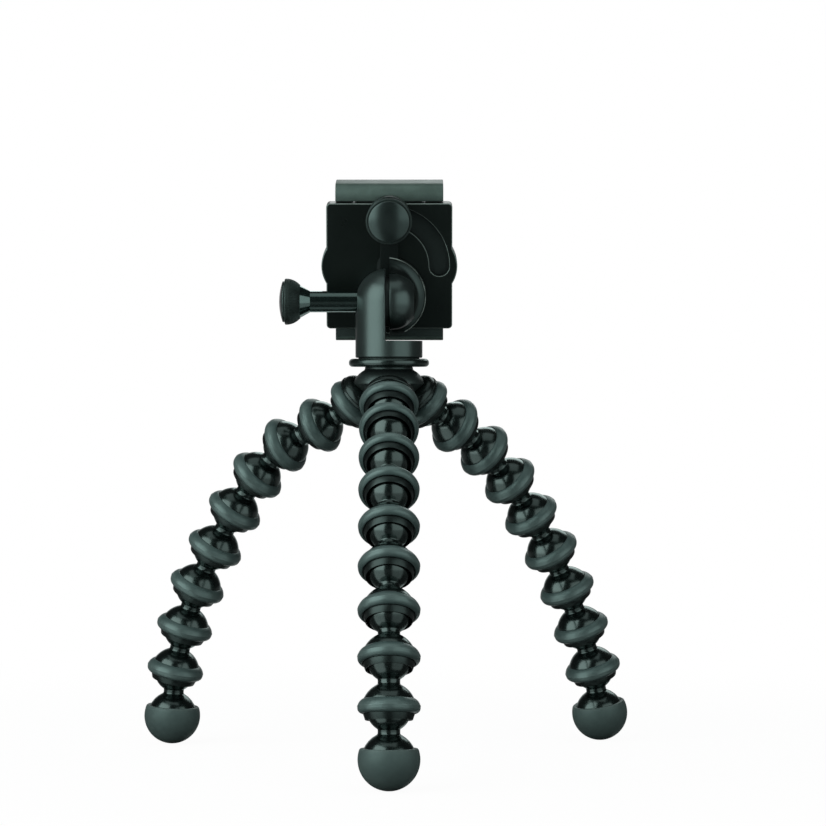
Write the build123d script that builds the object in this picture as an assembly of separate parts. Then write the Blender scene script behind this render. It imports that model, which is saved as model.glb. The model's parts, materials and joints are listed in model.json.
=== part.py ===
from build123d import *
import math
import os

os.makedirs("parts", exist_ok=True)

# Flexible leg tripod with ball-jointed legs, a tilting head and a sprung phone clamp.
# Lengths are in millimetres and angles in degrees. The origin is on the floor under
# the middle of the hub. +Z is up, and the front leg points along -Y.

# Ball joints of the legs
ball_r = 9.0
ball_gap = 0.1            # running gap between a ball and its socket
socket_wall = 1.9
mouth_depth = 4.6         # from the ball centre to the socket's open rim
mouth_wall = 0.75         # thickness of the socket at its open rim
neck_r = 4.5
neck_length = 1.97        # neck that shows between a ball and the round housing behind it
ball_neck_fillet = 0.6
neck_dome_fillet = 0.9

# Rubber ring round each socket
ring_sink = 0.9           # how far the ring's seat lies inside the round housing
ring_thick = 2.6
ring_crest = 1.3          # from the ball centre back to the ring's widest line
ring_edge = 1.3           # from the ball centre forward to the ring's open side
ring_edge_thick = 1.1     # thickness left at the ring's open side
ring_flank_share = 0.10   # how far the ring's long flank bulges, of its chord
ring_lip_share = 0.16     # how far the ring's short edge bulges, of its chord

# Rubber foot
foot_wall = 1.5
foot_rim = 3.8            # from the foot's centre up to the rim of the cap
foot_rim_fillet = 0.7

# Stance: dip of each piece below the horizontal, hub to foot, and the way each leg points
front_dip = [30, 37, 41, 48, 52, 59, 67, 80, 87]
right_dip = [28, 35, 44, 53, 55, 62, 66, 70, 79]
left_dip = [28, 28, 45, 55, 60, 63, 72, 77, 87]
front_azimuth = -90.0
right_azimuth = 36.5
left_azimuth = 151.0

# Hub
socket_dip = 42.0         # how far the three hub sockets look down
socket_reach = 17.9       # from the tripod's axis to each hub ball centre
first_socket_azimuth = -90.0
leg_count = 3
pod_r = 9.4               # round pod behind each hub socket
pod_setback = 6.7         # from the ball centre back to the pod's front rim
pod_rim_fillet = 0.5
hub_neck_r = 11.4
hub_top = 16.9            # from the hub ball centres up to the top of the hub
hub_base_r = 7.2
hub_base_drop = 7.0       # from the hub ball centres down to the hub's underside
hub_base_fillet = 1.5

# Pan joint between hub and head
collar_r = 17.35
collar_height = 3.5
collar_bore_gap = 0.4
collar_edge_share = 0.45  # rounding of the collar's rim, of its height
pan_washer_r = 13.2
pan_washer_height = 0.4
pan_bolt_r = 3.0
pan_bolt_gap = 0.1
pan_head_r = 4.9
pan_head_height = 3.2
pan_hex_width = 4.0
pan_hex_depth = 1.8
pan_recess_gap = 0.5
pan_shoulder = 9.0        # from the top of the hub down to the spring washer's seat
spring_washer_height = 1.2
pan_insert_r = 4.8
pan_insert_height = 5.2
pan_roof = 0.8            # housing left over the insert

# Head housing
head_yaw = -0.5           # turn of the head on its pan joint
housing_body_r = 14.5
housing_floor = 7.3       # from the housing's underside to the step beside the cheek
tilt_height = 24.3        # from the housing's underside up to the tilt axis
cheek_face = -1.5         # inner face of the cheek
housing_foot_fillet = 0.6
cheek_edge_fillet = 0.5
cheek_bore_gap = 0.1
spot_r = 5.4              # round seat of the lock knob in the cheek
spot_depth = 0.9

# Tilt bracket
clamp_lean = 9.0          # the clamp leans back towards the camera side
knuckle_r = 12.0
knuckle_face = 0.1        # left face of the knuckle
knuckle_width = 10.8
knuckle_fillet = 1.0
bell_r = 17.6             # half-round boss, level with the tilt axis
bell_rim = 1.5            # thickness of the boss's rim
bell_fillet = 0.45
bell_depth = 12.6         # length of its flared flank
bell_sink = 1.0           # how far the flank's small end dips into the knuckle
bell_flank_share = 0.20
arm_width_low = 9.0
arm_width_high = 7.2
arm_thick = 3.6
arm_roof = 1.2            # arm left over the end of the pivot bolt
boss_r = 9.4
boss_thick = 6.5
boss_fillet = 0.5
tilt_washer_r = 11.0
tilt_washer_gap = 0.1
tilt_bolt_r = 2.5
tilt_bolt_head_r = 4.4
tilt_bolt_head = 3.0
tilt_recess_gap = 0.2
hex_width = 4.0
hex_depth = 1.6

# Lock knobs
sleeve_r = 4.6
tilt_sleeve = 20.4
swivel_sleeve = 3.0
cone_r = 7.0
cone_length = 4.3
knob_r = 10.0
knob_waist_r = 7.5
knob_width = 6.7
grip_wall = 1.6
grip_bulge_share = 0.10   # how far the grip's flank stands out, of its length
knob_cap_r = 8.7
knob_cap_depth = 1.8
knob_cap_proud = 1.5      # how far the cap stands out of the grip
knob_cap_round = 0.7
knob_cap_dome = 0.9
knob_bore_gap = 0.1
knob_seat_gap = 0.1
grip_edge_fillet = 0.6
insert_r = 3.9
insert_length = 5.0
bolt_end_gap = 1.2        # between the bolt's end and the knob's cap

# Phone clamp, in its own upright frame: +Y is towards the phone
plate_stand = 19.0        # from the tilt axis to the back of the arm
pivot_washer = 0.5
pivot_washer_r = 5.5
pivot_rise = 13.05        # from the tilt axis up to the middle of the plates
slot_rim = 1.3            # plate left outside the slot, which gives the plates' size
plate_corner = 1.8
bulge_r = 14.5
bulge_height = 2.2
back_thick = 2.4
slider_bay = 2.0
mid_thick = 0.8
spring_bay = 4.4
front_thick = 1.8
shell_wall = 1.8
plate_edge_fillet = 0.6
lining_gap = 0.2
slot_r = 21.9
slot_width = 8.8
slot_span = 90.0
slot_fillet = 0.4
pivot_r = 3.0
pivot_gap = 0.1
pivot_head_r = 5.0
pivot_head = 1.5
slider_gap = 0.2
slider_flange_r = 6.0
slider_reach = 3.2        # flange beyond the slot's centre line, outwards
screw_r = 1.3
screw_head_r = 2.4
screw_head = 1.1
screw_inset = 4.2
screw_bite = 1.6          # thread left in the back plate
post_r = 2.6

# Jaws
jaw_width = 47.3
jaw_depth = 26.0
lower_jaw_height = 5.8
upper_jaw_height = 7.6
jaw_lip = 3.0
jaw_hook = 5.0            # how far the lips reach over the phone's face
jaw_skin = 1.2            # rubber skin over the jaws
jaw_skin_back = 0.6
jaw_fillet = 1.6
upper_jaw_round = 4.2     # rolled edge along the top of the upper jaw's back
lower_jaw_round = 2.2     # the same along the underside of the lower jaw
jaw_seat_gap = 0.6
jaw_setback = 0.2         # the jaws stand this far behind the back plate
pad_thick = 0.8
front_pad_width = 46.0
front_pad_height = 40.0
front_pad_corner = 4.0
rod_r = 1.3
rod_gap = 0.1
rod_spread = 15.0
rod_head_r = 1.9
rod_head = 1.6
rod_bite = 4.0            # rod held inside the upper jaw
rod_foot_gap = 1.0
spring_r = 1.95
spring_bore_gap = 0.1
spring_end_gap = 0.2

overrun = 1.0             # cutters reach this far past what they cut
same_r_share = 0.001      # radii closer than this share of their size are one radius

housing_r = ball_r + ball_gap + socket_wall
ring_seat_r = housing_r - ring_sink
ring_r = ring_seat_r + ring_thick
ring_edge_r = ring_seat_r + ring_edge_thick
foot_r = housing_r + foot_wall
# From one ball centre to the next along a leg
leg_pitch = math.sqrt(ball_r**2 - neck_r**2) + neck_length + math.sqrt(housing_r**2 - neck_r**2)


def direction(dip, azimuth):
    d, a = math.radians(dip), math.radians(azimuth)
    return (math.cos(d) * math.cos(a), math.cos(d) * math.sin(a), -math.sin(d))


def rise_share(dips):
    return sum(math.sin(math.radians(dip)) for dip in dips)


def run_share(dips):
    return sum(math.cos(math.radians(dip)) for dip in dips)


def settled(dips):
    # A leg is turned as a whole at its hub ball until its foot stands on the floor.
    rise, run = rise_share(dips), run_share(dips)
    turn = math.asin(rise_share(front_dip) / math.hypot(rise, run)) - math.atan2(rise, run)
    return [dip + math.degrees(turn) for dip in dips]


def step(point, way, length):
    return tuple(p + w * length for p, w in zip(point, way))


def chain(start, dips, azimuth):
    # Ball centres of one leg, each with the way its piece points.
    places = []
    centre = start
    for dip in settled(dips):
        way = direction(dip, azimuth)
        places.append((centre, way))
        centre = step(centre, way, leg_pitch)
    return places


hub_ball_z = foot_r + leg_pitch * rise_share(front_dip)
socket_azimuths = [first_socket_azimuth + 360 / leg_count * i for i in range(leg_count)]


def socket_centre(azimuth):
    a = math.radians(azimuth)
    return (socket_reach * math.cos(a), socket_reach * math.sin(a), hub_ball_z)


legs = {
    "front": chain(socket_centre(socket_azimuths[0]), front_dip, front_azimuth),
    "right": chain(socket_centre(socket_azimuths[1]), right_dip, right_azimuth),
    "left": chain(socket_centre(socket_azimuths[2]), left_dip, left_azimuth),
}

hub_top_z = hub_ball_z + hub_top
hub_base_z = hub_ball_z - hub_base_drop
pan_washer_z = hub_top_z + collar_height
housing_z = pan_washer_z + pan_washer_height
tilt_z = housing_z + tilt_height
pan_seat_z = hub_top_z - pan_shoulder
insert_top_z = housing_z + housing_floor - pan_roof

plate_back = plate_stand + pivot_washer
bay_y = plate_back + back_thick
mid_y = bay_y + slider_bay
spring_y = mid_y + mid_thick
front_y = spring_y + spring_bay
pad_y = front_y + front_thick
phone_y = pad_y + pad_thick
jaw_back_y = bay_y + jaw_setback
jaw_end_y = plate_back + jaw_depth
plate_half = slot_r + slot_width / 2 + slot_rim
plate_top = pivot_rise + plate_half
plate_base = pivot_rise - plate_half
rod_y = spring_y + spring_bay / 2
boss_y = plate_stand - boss_thick
# End of the shared sizes


# Placing
def facing(point, way):
    # A frame at a point whose Z axis points along the given way.
    side = Vector(-way[1], way[0], 0)
    return Plane(origin=point, x_dir=side, z_dir=Vector(*way)).location


def head_at(shape):
    return Rot(Z=head_yaw) * shape


def clamp_at(shape):
    return Rot(Z=head_yaw) * Pos(Z=tilt_z) * Rot(X=clamp_lean) * shape


def rod_x(radius, start, end):
    # A round bar along X between two places.
    low, high = min(start, end), max(start, end)
    return Pos(X=(low + high) / 2) * Rot(Y=90) * Cylinder(radius, high - low)


def rod_y_bar(radius, start, end, x=0, z=0):
    # A round bar along Y between two places.
    return Pos(x, (start + end) / 2, z) * Rot(X=90) * Cylinder(radius, end - start)


def rod_z(radius, low, high):
    return Pos(Z=(low + high) / 2) * Cylinder(radius, high - low)


def slab(x0, x1, y0, y1, z0, z1):
    middle = Pos((x0 + x1) / 2, (y0 + y1) / 2, (z0 + z1) / 2)
    return middle * Box(x1 - x0, y1 - y0, z1 - z0)


def bulged(start, end, share):
    # An arc from start to end that stands out to the right of the way it runs.
    dx, dz = end[0] - start[0], end[1] - start[1]
    middle = ((start[0] + end[0]) / 2 + dz * share, (start[1] + end[1]) / 2 - dx * share)
    return ThreePointArc(start, middle, end)


def crown(radius, base, height):
    # A shallow arc from the rim up to the axis, level where it meets it.
    ball = (radius**2 + height**2) / (2 * height)
    drop = ball - math.sqrt(ball**2 - (radius / 2) ** 2)
    return ThreePointArc((radius, base), (radius / 2, base + height - drop), (0, base + height))


def turned(*edges):
    # The solid that an outline in radius and height makes when spun about Z.
    face = make_face(Plane.XZ * Wire.combine(list(edges))[0])
    return revolve(face, Axis.Z, 360)


def circles(shape, radius):
    return [
        edge
        for edge in shape.edges().filter_by(GeomType.CIRCLE)
        if abs(edge.radius - radius) < radius * same_r_share
    ]


# Ball joints
def ring_top():
    # The ring starts where the round housing is as wide as the ring's seat.
    return -math.sqrt(housing_r**2 - ring_seat_r**2)


def mouth_r():
    return math.sqrt((ball_r + ball_gap) ** 2 - mouth_depth**2)


def socket_body():
    # Housing of one socket round its ball centre, solid inside, mouth towards +Z.
    top = (ring_seat_r, ring_top())
    seat = (ring_seat_r, ring_edge)
    shoulder = (ring_edge_r, ring_edge)
    lip = (mouth_r() + mouth_wall, mouth_depth)
    pole = (0, -housing_r)
    half = math.sin(math.atan2(ring_seat_r, -ring_top()) / 2)
    rise = math.cos(math.atan2(ring_seat_r, -ring_top()) / 2)
    return turned(
        ThreePointArc(pole, (housing_r * half, -housing_r * rise), top),
        Line(top, seat),
        Line(seat, shoulder),
        Line(shoulder, lip),
        Line(lip, (0, mouth_depth)),
        Line((0, mouth_depth), pole),
    )


def socket_hollow():
    return Sphere(ball_r + ball_gap)


def socket_ring():
    top = (ring_seat_r, ring_top())
    crest = (ring_r, -ring_crest)
    edge = (ring_edge_r, ring_edge)
    seat = (ring_seat_r, ring_edge)
    return turned(
        bulged(top, crest, ring_flank_share),
        bulged(crest, edge, ring_lip_share),
        Line(edge, seat),
        Line(seat, top),
    )


def ball_stem(outer):
    # A ball at the origin and a neck that joins it to the piece at the next centre.
    body = Sphere(ball_r) + rod_z(neck_r, 0, leg_pitch) + Pos(Z=leg_pitch) * outer
    ends = sorted(circles(body, neck_r), key=lambda edge: edge.center().Z)
    body = fillet(ends[0], ball_neck_fillet)
    ends = sorted(circles(body, neck_r), key=lambda edge: edge.center().Z)
    return fillet(ends[-1], neck_dome_fillet)


def leg_link():
    body = ball_stem(socket_body()) - Pos(Z=leg_pitch) * socket_hollow()
    return Compound(children=[body.solid(), Pos(Z=leg_pitch) * socket_ring()])


def leg_foot():
    stem = ball_stem(Sphere(housing_r))
    cap = Sphere(foot_r) - Sphere(housing_r)
    cap -= Pos(Z=-foot_rim - foot_r) * Cylinder(foot_r + overrun, foot_r * 2)
    rim_r = math.sqrt(foot_r**2 - foot_rim**2)
    cap = fillet(circles(cap, rim_r), foot_rim_fillet)
    return Compound(children=[stem.solid(), Pos(Z=leg_pitch) * cap.solid()])


# Hub and pan joint
def hub():
    core = rod_z(hub_neck_r, hub_base_z + hub_base_drop, hub_top_z)
    core += rod_z(hub_base_r, hub_base_z, hub_ball_z)
    lowest = min(circles(core, hub_base_r), key=lambda edge: edge.center().Z)
    core = fillet(lowest, hub_base_fillet)
    above = rod_z(collar_r, hub_top_z, hub_top_z + socket_reach)
    pods = []
    for azimuth in socket_azimuths:
        way = direction(socket_dip, azimuth)
        place = facing(socket_centre(azimuth), way)
        back = socket_reach / math.cos(math.radians(socket_dip))
        pod = rod_z(pod_r, -back, -pod_setback)
        pod = fillet(pod.edges().filter_by(GeomType.CIRCLE).sort_by(Axis.Z)[-1], pod_rim_fillet)
        core += place * pod
        pods.append(place)
    core -= above
    for place in pods:
        core += place * socket_body()
    for place in pods:
        core -= place * socket_hollow()
    core -= rod_z(pan_bolt_r + pan_bolt_gap, hub_base_z - overrun, hub_top_z + overrun)
    core -= rod_z(pan_head_r + pan_recess_gap, hub_base_z - overrun, pan_seat_z)
    return core.solid()


def hub_rings():
    ring = socket_ring()
    return Compound(
        children=[
            facing(socket_centre(azimuth), direction(socket_dip, azimuth)) * ring
            for azimuth in socket_azimuths
        ]
    )


def collar_ring():
    ring = rod_z(collar_r, hub_top_z, pan_washer_z)
    ring = fillet(circles(ring, collar_r), collar_height * collar_edge_share)
    ring -= rod_z(pan_bolt_r + collar_bore_gap, hub_top_z - overrun, pan_washer_z + overrun)
    return ring


def pan_washer():
    washer = rod_z(pan_washer_r, pan_washer_z, housing_z)
    return washer - rod_z(pan_bolt_r + pan_bolt_gap, pan_washer_z - overrun, housing_z + overrun)


def pan_bolt():
    head_top = pan_seat_z - spring_washer_height
    bolt = rod_z(pan_bolt_r, head_top, insert_top_z)
    bolt += rod_z(pan_head_r, head_top - pan_head_height, head_top)
    socket = Pos(Z=head_top - pan_head_height) * extrude(
        RegularPolygon(pan_hex_width / 2, 6, major_radius=False), pan_hex_depth
    )
    return bolt - socket


def spring_washer():
    low = pan_seat_z - spring_washer_height
    return rod_z(pan_head_r, low, pan_seat_z) - rod_z(
        pan_bolt_r + pan_bolt_gap, low - overrun, pan_seat_z + overrun
    )


def pan_insert():
    low = insert_top_z - pan_insert_height
    insert = rod_z(pan_insert_r, low, insert_top_z)
    return insert - rod_z(pan_bolt_r, low - overrun, insert_top_z + overrun)


# Head
def head_housing():
    step_z = housing_z + housing_floor
    body = rod_z(housing_body_r, housing_z, tilt_z) + Pos(Z=tilt_z) * Sphere(housing_body_r)
    side = housing_body_r + overrun
    body -= slab(cheek_face, side, -side, side, step_z, tilt_z + side)
    cheek = body.faces().filter_by(GeomType.PLANE).filter_by(Axis.X).sort_by(Axis.X)[-1]
    arched = [edge for edge in cheek.edges() if edge.geom_type == GeomType.CIRCLE]
    body = fillet(arched, cheek_edge_fillet)
    body = fillet(
        body.edges().filter_by(GeomType.CIRCLE).sort_by(Axis.Z)[0], housing_foot_fillet
    )
    body -= rod_z(pan_insert_r, housing_z - overrun, insert_top_z)
    shaft = Pos(Z=tilt_z) * rod_x(tilt_bolt_r + cheek_bore_gap, -side, cheek_face + overrun)
    spot = Pos(Z=tilt_z) * rod_x(spot_r, -side, -housing_body_r + spot_depth)
    return (body - shaft - spot).solid()


def tilt_washer():
    inner = tilt_bolt_r + tilt_washer_gap
    left, right = cheek_face + tilt_washer_gap, knuckle_face
    washer = rod_x(tilt_washer_r, left, right) - rod_x(inner, left - overrun, right + overrun)
    return Rot(X=-clamp_lean) * washer


def tilt_bracket():
    right = knuckle_face + knuckle_width
    knuckle = rod_x(knuckle_r, knuckle_face, right)
    knuckle = fillet(circles(knuckle, knuckle_r), knuckle_fillet)
    rim_y = plate_stand - bell_rim
    flank_y = rim_y - bell_depth
    small_r = knuckle_width - bell_sink
    flare = turned(
        Line((0, 0), (bell_r, 0)),
        Line((bell_r, 0), (bell_r, bell_rim)),
        bulged((bell_r, bell_rim), (small_r, bell_rim + bell_depth), -bell_flank_share),
        Line((small_r, bell_rim + bell_depth), (0, bell_rim + bell_depth)),
        Line((0, bell_rim + bell_depth), (0, 0)),
    )
    flare = fillet(circles(flare, bell_r), bell_fillet)
    flare = Pos(X=cheek_face, Y=plate_stand) * Rot(X=90) * flare
    far = bell_r + overrun
    flare -= slab(
        knuckle_face - far * 2, knuckle_face, flank_y - overrun, plate_stand + overrun, -far, far
    )
    body = knuckle + flare
    arm_y = plate_stand - arm_thick
    boss_z = pivot_rise + slot_r
    outline = Polyline(
        (-arm_width_low / 2, 0),
        (arm_width_low / 2, 0),
        (arm_width_high / 2, boss_z),
        (-arm_width_high / 2, boss_z),
        close=True,
    )
    arm = extrude(make_face(Plane.XZ * outline), -arm_thick)
    body += Pos(Y=arm_y) * arm
    boss = rod_y_bar(boss_r, boss_y, plate_stand, z=boss_z)
    boss = fillet(boss.edges().filter_by(GeomType.CIRCLE).sort_by(Axis.Y)[0], boss_fillet)
    body += boss
    body -= rod_x(tilt_bolt_r, knuckle_face - overrun, right + overrun)
    body -= rod_x(tilt_bolt_head_r + tilt_recess_gap, right - tilt_bolt_head, right + overrun)
    body -= rod_y_bar(
        tilt_bolt_r + pivot_gap, boss_y - overrun, plate_stand + overrun, z=boss_z
    )
    body -= rod_y_bar(pivot_r, arm_y + arm_roof, plate_stand + overrun, z=pivot_rise)
    return body.solid()


def tilt_bolt():
    right = knuckle_face + knuckle_width
    head = rod_x(tilt_bolt_head_r, right - tilt_bolt_head, right)
    bolt = head + rod_x(tilt_bolt_r, -tilt_bolt_end(), right)
    socket = extrude(
        Plane.YZ * RegularPolygon(hex_width / 2, 6, major_radius=False), hex_depth
    )
    return bolt - Pos(X=right - hex_depth) * socket


def sleeve_start():
    # The sleeve stands on the bottom of the round seat in the cheek.
    return housing_body_r - spot_depth + knob_seat_gap


def knob_length(sleeve):
    return sleeve + cone_length + knob_width


def tilt_bolt_end():
    return sleeve_start() + knob_length(tilt_sleeve) - knob_cap_depth - bolt_end_gap


# Lock knobs, built standing on the XY plane with the cap on top
def knob_core(sleeve, bore):
    cone_z = sleeve
    barrel_z = sleeve + cone_length
    top = barrel_z + knob_width
    low_r, high_r = knob_waist_r - grip_wall, knob_r - grip_wall
    body = turned(
        Line((0, 0), (sleeve_r, 0)),
        Line((sleeve_r, 0), (sleeve_r, cone_z)),
        Line((sleeve_r, cone_z), (cone_r, barrel_z)),
        Line((cone_r, barrel_z), (low_r, barrel_z)),
        bulged((low_r, barrel_z), (high_r, top), grip_bulge_share),
        Line((high_r, top), (0, top)),
        Line((0, top), (0, 0)),
    )
    body -= rod_z(bore, -overrun, top - knob_cap_depth)
    body -= rod_z(knob_cap_r - grip_wall, top - knob_cap_depth, top + overrun)
    body -= rod_z(insert_r, top - knob_cap_depth - insert_length, top)
    return body.solid()


def knob_grip(sleeve):
    low = sleeve + cone_length
    top = low + knob_width
    grip = turned(
        Line((knob_waist_r - grip_wall, low), (knob_waist_r, low)),
        bulged((knob_waist_r, low), (knob_r, top), grip_bulge_share),
        Line((knob_r, top), (knob_r - grip_wall, top)),
        bulged((knob_r - grip_wall, top), (knob_waist_r - grip_wall, low), -grip_bulge_share),
    )
    return fillet(circles(grip, knob_r), grip_edge_fillet)


def knob_insert(sleeve, bore):
    top = knob_length(sleeve) - knob_cap_depth
    return rod_z(insert_r, top - insert_length, top) - rod_z(
        bore, top - insert_length - overrun, top + overrun
    )


def knob_cap(sleeve):
    top = knob_length(sleeve)
    plug_r = knob_cap_r - grip_wall
    stem = rod_z(plug_r, top - knob_cap_depth, top)
    rim = top + knob_cap_proud
    button = turned(
        Line((0, top), (knob_cap_r, top)),
        Line((knob_cap_r, top), (knob_cap_r, rim)),
        crown(knob_cap_r, rim, knob_cap_dome),
        Line((0, rim + knob_cap_dome), (0, top)),
    )
    edge = max(circles(button, knob_cap_r), key=lambda item: item.center().Z)
    return (stem + fillet(edge, knob_cap_round)).solid()


def at_tilt_knob(shape):
    # Along -X from the cheek, turned with the lean of the bolt.
    return Pos(-sleeve_start(), 0, tilt_z) * Rot(Y=-90) * shape


def at_swivel_knob(shape):
    # Along -Y from the boss of the bracket.
    return Pos(Y=boss_y - knob_seat_gap, Z=pivot_rise + slot_r) * Rot(X=90) * shape


def swivel_screw():
    # Stud fixed in the swivel knob; its thread runs through the boss into the slot's slider.
    top = knob_length(swivel_sleeve) - knob_cap_depth - bolt_end_gap
    reach = boss_thick + pivot_washer + back_thick + slider_bay - slider_gap + knob_seat_gap
    return rod_z(tilt_bolt_r, -reach, top)


# Phone clamp
def plate_outline(inset, swellings):
    # Square with rounded corners and a shallow round swelling in the middle of some sides.
    half = plate_half - inset
    corner = max(plate_corner - inset, plate_corner / 2)
    face = RectangleRounded(half * 2, half * 2, corner)
    reach = plate_half + bulge_height - bulge_r
    for turn in swellings:
        face += Rot(Z=turn) * Pos(X=reach) * Circle(bulge_r - inset)
    return face


def plate_block(y0, y1, inset=0, swellings=(0, 180)):
    plate = extrude(Plane.XZ * plate_outline(inset, swellings), -(y1 - y0))
    return Pos(Y=y0, Z=pivot_rise) * plate


def slot_cutter(y0, y1):
    # Curved slot with round ends, from straight up round to the right.
    far_turn = 90 - slot_span
    outer = CenterArc((0, 0), slot_r + slot_width / 2, far_turn, slot_span)
    inner = CenterArc((0, 0), slot_r - slot_width / 2, far_turn, slot_span)
    ends = [Line(outer @ place, inner @ place) for place in (0, 1)]
    face = make_face(Wire.combine([outer, ends[0], inner, ends[1]])[0])
    middle = CenterArc((0, 0), slot_r, far_turn, slot_span)
    for place in (0, 1):
        face += Pos(middle @ place) * Circle(slot_width / 2)
    return Pos(Y=y0, Z=pivot_rise) * extrude(Plane.XZ * face, -(y1 - y0))


def screw_places():
    offset = plate_half - screw_inset
    return [(x * offset, pivot_rise + z * offset) for x in (-1, 1) for z in (-1, 1)]


def back_plate():
    # It swells on all four sides, before the jaws too.
    plate = plate_block(plate_back, bay_y, swellings=(0, 90, 180, 270))
    plate = fillet(plate.faces().sort_by(Axis.Y)[0].edges(), plate_edge_fillet)
    plate -= slot_cutter(plate_back - overrun, bay_y + overrun)
    slot_edges = plate.faces().sort_by(Axis.Y)[0].inner_wires()[0].edges()
    plate = fillet(slot_edges, slot_fillet)
    plate -= rod_y_bar(pivot_r + pivot_gap, plate_back - overrun, bay_y + overrun, z=pivot_rise)
    for x, z in screw_places():
        plate -= rod_y_bar(screw_r, bay_y - screw_bite, bay_y + overrun, x, z)
    return plate.solid()


def front_plate():
    shell = plate_block(bay_y, pad_y)
    shell = fillet(shell.faces().sort_by(Axis.Y)[-1].edges(), plate_edge_fillet)
    hollow = plate_block(bay_y - overrun, front_y, shell_wall)
    for x, z in screw_places():
        hollow -= rod_y_bar(post_r, bay_y - overrun * 2, front_y + overrun, x, z)
    shell -= hollow
    for x, z in screw_places():
        shell -= rod_y_bar(screw_r + rod_gap, bay_y - overrun, pad_y + overrun, x, z)
        shell -= rod_y_bar(screw_head_r + rod_gap, pad_y - screw_head, pad_y + overrun, x, z)
    for x in (-rod_spread, rod_spread):
        hole = Pos(x, rod_y, 0) * rod_z(rod_r + rod_gap, pivot_rise, plate_top + overrun)
        shell -= hole
    return shell.solid()


def mid_plate():
    plate = plate_block(mid_y, spring_y, shell_wall + lining_gap)
    for x, z in screw_places():
        plate -= rod_y_bar(post_r + lining_gap, mid_y - overrun, spring_y + overrun, x, z)
    return plate.solid()


def plate_screws():
    screws = []
    for x, z in screw_places():
        screw = rod_y_bar(screw_r, bay_y - screw_bite, pad_y - screw_head, x, z)
        screws.append(screw + rod_y_bar(screw_head_r, pad_y - screw_head, pad_y, x, z))
    return Compound(children=screws)


def front_pad():
    pad = extrude(
        Plane.XZ * RectangleRounded(front_pad_width, front_pad_height, front_pad_corner),
        -pad_thick,
    )
    return Pos(Y=pad_y, Z=pivot_rise) * pad


def pivot_bolt():
    head_y = bay_y + pivot_gap
    bolt = rod_y_bar(pivot_r, plate_stand - arm_thick + arm_roof, head_y, z=pivot_rise)
    return bolt + rod_y_bar(pivot_head_r, head_y, head_y + pivot_head, z=pivot_rise)


def washer_y(outer, inner, z):
    washer = rod_y_bar(outer, plate_stand, plate_back, z=z)
    return washer - rod_y_bar(inner, plate_stand - overrun, plate_back + overrun, z=z)


def bracket_washers():
    # One washer round the pivot and one round the swivel screw.
    return Compound(
        children=[
            washer_y(pivot_washer_r, pivot_r + pivot_gap, pivot_rise),
            washer_y(boss_r, tilt_bolt_r + pivot_gap, pivot_rise + slot_r),
        ]
    )


def slot_slider():
    # Nut that the swivel screw draws against the back plate from inside.
    z = pivot_rise + slot_r
    stem = rod_y_bar(slot_width / 2 - slider_gap, plate_back, bay_y + slider_gap, z=z)
    flange = rod_y_bar(slider_flange_r, bay_y + slider_gap / 2, mid_y - slider_gap, z=z)
    outside = slab(
        -slider_flange_r, slider_flange_r, bay_y - slider_gap, mid_y + overrun,
        z + slider_reach, z + slider_flange_r + overrun,
    )
    return (stem + flange - outside).solid() - rod_y_bar(
        tilt_bolt_r + pivot_gap, plate_back - overrun, mid_y + overrun, z=z
    )


# Jaws
def jaw_blank(z_face, z_far, sign, inset):
    # Bar along X with a hooked lip at its far end; sign is the side the phone is on.
    half = jaw_width / 2 - inset
    back = jaw_back_y + (jaw_skin_back if inset else 0)
    low, high = min(z_face, z_far), max(z_face, z_far)
    bar = slab(-half, half, back, jaw_end_y - inset, low, high)
    hook_tip = z_face + sign * (jaw_hook - inset)
    lip_low, lip_high = min(z_far, hook_tip), max(z_far, hook_tip)
    lip_y = jaw_end_y - jaw_lip + inset / 2
    jaw = bar + slab(-half, half, lip_y, jaw_end_y - inset, lip_low, lip_high)
    rolled = jaw.edges().filter_by(Axis.X).group_by(Axis.Y)[0].sort_by(Axis.Z)
    roll = (lower_jaw_round if sign > 0 else upper_jaw_round) - inset
    return fillet(rolled[0] if sign > 0 else rolled[-1], roll)


def lower_jaw():
    # Core screwed under the plates; the rubber skin covers all but its top.
    z_face, z_far = plate_base, plate_base - lower_jaw_height + jaw_skin
    return jaw_blank(z_face, z_far, 1, jaw_skin).solid()


def jaw_skin_over(z_face, z_far, sign):
    outer = jaw_blank(z_face, z_far, sign, 0)
    upright = outer.edges().filter_by(Axis.Z).group_by(Axis.Y)
    outer = fillet(upright[0] + upright[-1], jaw_fillet)
    return outer


def lower_jaw_skin():
    skin = jaw_skin_over(plate_base, plate_base - lower_jaw_height, 1)
    return (skin - lower_jaw()).solid()


def upper_jaw():
    z_face = plate_top + jaw_seat_gap + jaw_skin
    z_far = plate_top + jaw_seat_gap + upper_jaw_height - jaw_skin
    core = jaw_blank(z_face, z_far, -1, jaw_skin)
    for x in (-rod_spread, rod_spread):
        core -= Pos(x, rod_y, 0) * rod_z(rod_r, z_face - overrun, z_face + rod_bite)
    return core.solid()


def upper_jaw_skin():
    z_face = plate_top + jaw_seat_gap
    skin = jaw_skin_over(z_face, z_face + upper_jaw_height, -1) - upper_jaw()
    for x in (-rod_spread, rod_spread):
        skin -= Pos(x, rod_y, 0) * rod_z(rod_r, z_face - overrun, z_face + jaw_skin + rod_bite)
    return skin.solid()


def rod_foot_z():
    return plate_base + shell_wall + rod_foot_gap


def guide_rods():
    top = plate_top + jaw_seat_gap + jaw_skin + rod_bite
    rods = []
    for x in (-rod_spread, rod_spread):
        rod = rod_z(rod_r, rod_foot_z(), top)
        head = rod_z(rod_head_r, rod_foot_z(), rod_foot_z() + rod_head)
        rods.append(Pos(x, rod_y, 0) * (rod + head))
    return Compound(children=rods)


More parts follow.
